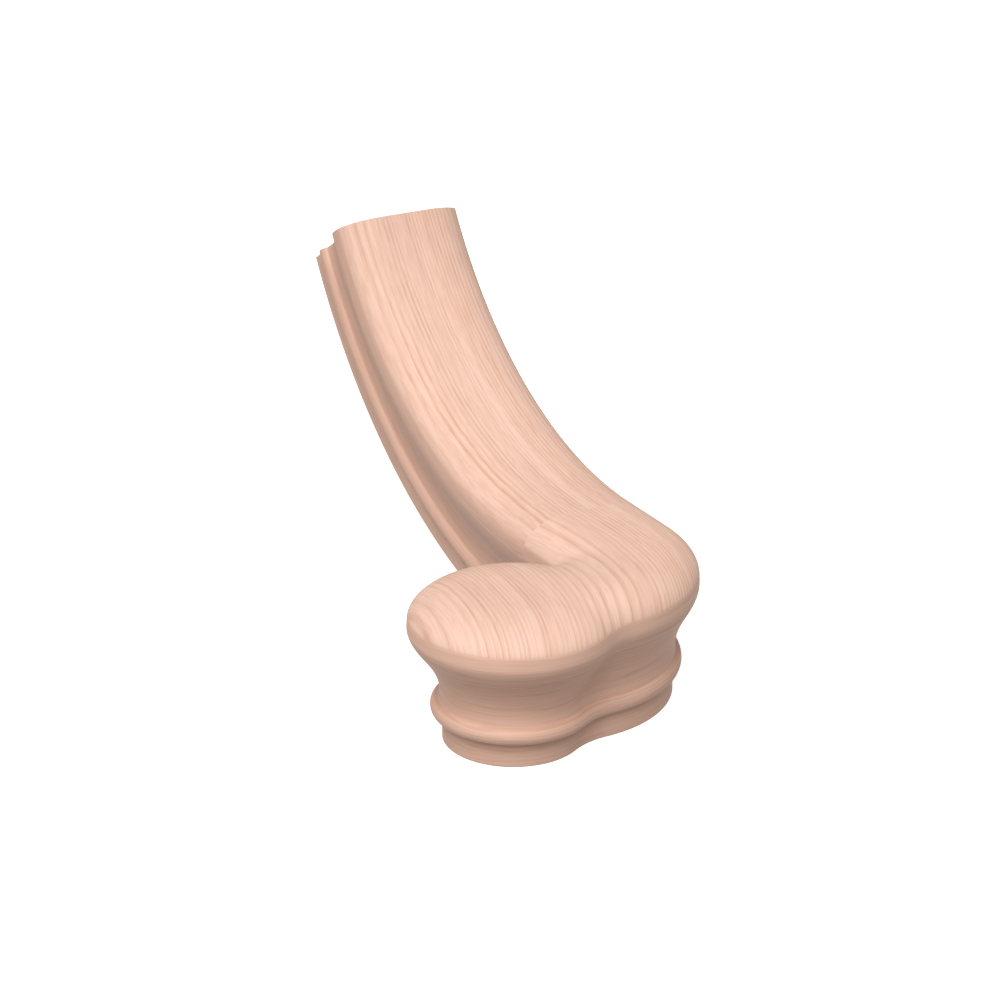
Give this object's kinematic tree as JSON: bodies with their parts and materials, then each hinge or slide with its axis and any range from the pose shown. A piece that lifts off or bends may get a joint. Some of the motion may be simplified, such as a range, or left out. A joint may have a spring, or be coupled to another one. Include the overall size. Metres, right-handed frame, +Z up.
{
  "type": "handrail turnout",
  "caption": "Moulded wooden stair handrail fitting: a curved easing brings the rail down to the level, where it turns aside into a round cap that sits on a newel post.",
  "frame": {"origin": "centre of the newel pin's bore in the underside plane of the cap", "axes": "+X uphill along the rail, +Z up, +Y from the rail's line towards the cap's side"},
  "size_m": [0.2991, 0.1316, 0.1413],
  "materials": {
    "red_oak": "sanded, unfinished"
  },
  "bodies": {
    "root": {"turnout": "red_oak"}
  },
  "joints": []
}
